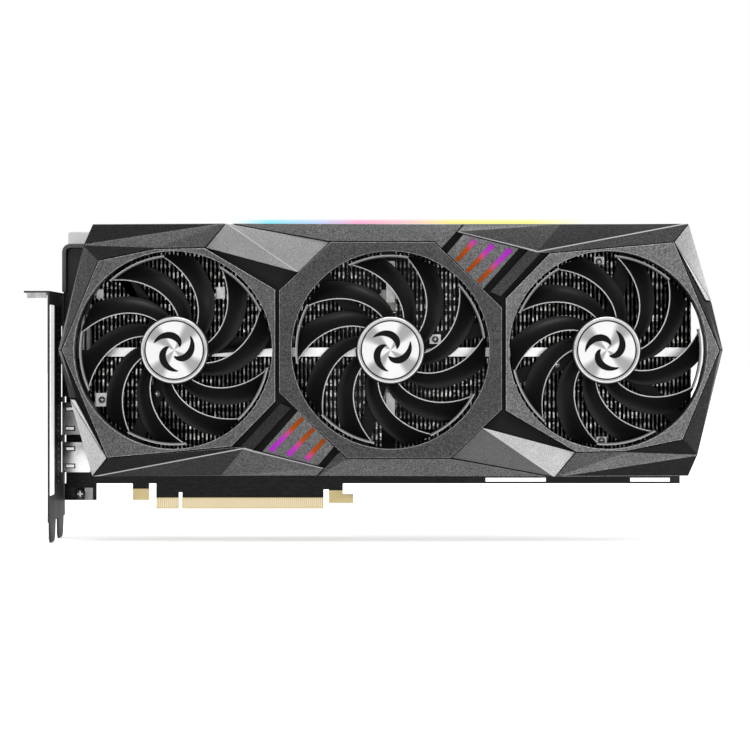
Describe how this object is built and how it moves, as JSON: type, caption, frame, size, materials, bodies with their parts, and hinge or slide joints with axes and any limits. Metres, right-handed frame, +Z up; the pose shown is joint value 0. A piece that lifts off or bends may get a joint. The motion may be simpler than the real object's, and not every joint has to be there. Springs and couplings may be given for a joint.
{
  "type": "graphics card",
  "caption": "Long graphics card with a faceted dark shroud, round cooling fans, fin stacks, heat pipes, circuit board, slot bracket and backplate.",
  "frame": {"origin": "middle of the long contact tongue's bottom face, on the circuit board's middle plane; this is where the card rests in its slot", "axes": "+X from the slot bracket to the tail, -Y towards the side that the fans blow in from, +Z up, away from the contact edge"},
  "size_m": [0.3341, 0.0554, 0.1554],
  "materials": {
    "shell_plastic": "fine moulded texture, almost black",
    "speckled_plastic": "grey paint with a fine metallic speckle",
    "bright_trim": "light grey metallic paint, satin",
    "light_guide": "milky light guide, lit in purple to orange",
    "fan_plastic": "satin black",
    "spun_aluminium": "circular brushed, polished rim",
    "steel": "bright",
    "magnet": "dull grey",
    "winding": "lacquered copper wire on a laminated core",
    "fin_aluminium": "bare sheet",
    "plated_copper": "bright nickel plate",
    "graphite_plate": "dark brushed plate",
    "board_laminate": "black solder mask, gold contacts",
    "chip_package": "dark green substrate",
    "socket_plastic": "black moulded",
    "socket_shell": "bright plated shell",
    "bracket_steel": "plated sheet, satin"
  },
  "bodies": {
    "card": {"shroud_body": "shell_plastic", "fan_base_left": "shell_plastic", "fan_base_centre": "shell_plastic", "fan_base_right": "shell_plastic", "bezel_left": "speckled_plastic", "bezel_centre": "speckled_plastic", "bezel_right": "speckled_plastic", "corner_frame_left": "speckled_plastic", "corner_frame_right": "speckled_plastic", "cover_bottom_left": "speckled_plastic", "cover_top_right": "speckled_plastic", "edge_band_top": "speckled_plastic", "edge_band_bottom": "speckled_plastic", "light_panel_top": "speckled_plastic", "light_panel_bottom": "speckled_plastic", "trim_top_silver": "bright_trim", "trim_bottom_silver": "bright_trim", "end_trim_left": "bright_trim", "end_trim_right": "bright_trim", "light_guide_top": "light_guide", "light_guide_bottom": "light_guide", "light_bar": "light_guide", "bracket_screw": "steel", "fan_stator_left": "winding", "fan_stator_centre": "winding", "fan_stator_right": "winding", "fin_stack_left": "fin_aluminium", "fin_stack_right": "fin_aluminium", "fin_tie_strip": "fin_aluminium", "heat_pipe_1": "plated_copper", "heat_pipe_2": "plated_copper", "heat_pipe_3": "plated_copper", "heat_pipe_4": "plated_copper", "heat_pipe_5": "plated_copper", "heat_pipe_6": "plated_copper", "cold_plate": "plated_copper", "mid_plate": "graphite_plate", "backplate": "graphite_plate", "circuit_board": "board_laminate", "gpu_package": "chip_package", "power_socket_1": "socket_plastic", "power_socket_2": "socket_plastic", "power_socket_3": "socket_plastic", "hdmi_socket": "socket_shell", "display_socket_1": "socket_shell", "display_socket_2": "socket_shell", "display_socket_3": "socket_shell", "slot_bracket": "bracket_steel"},
    "fan_left": {"fan_rotor_left": "fan_plastic", "fan_cap_left": "spun_aluminium", "fan_shaft_left": "steel", "magnet_ring_left": "magnet"},
    "fan_centre": {"fan_rotor_centre": "fan_plastic", "fan_cap_centre": "spun_aluminium", "fan_shaft_centre": "steel", "magnet_ring_centre": "magnet"},
    "fan_right": {"fan_rotor_right": "fan_plastic", "fan_cap_right": "spun_aluminium", "fan_shaft_right": "steel", "magnet_ring_right": "magnet"}
  },
  "joints": [
    {"name": "fan_spin_left", "type": "hinge", "parent": "card", "child": "fan_left", "pos_m": [-0.03375, -0.045, 0.0797], "axis": [0, 1, 0], "continuous": true},
    {"name": "fan_spin_centre", "type": "hinge", "parent": "card", "child": "fan_centre", "pos_m": [0.06915, -0.045, 0.0797], "axis": [0, 1, 0], "continuous": true},
    {"name": "fan_spin_right", "type": "hinge", "parent": "card", "child": "fan_right", "pos_m": [0.17205, -0.045, 0.0797], "axis": [0, 1, 0], "continuous": true}
  ]
}
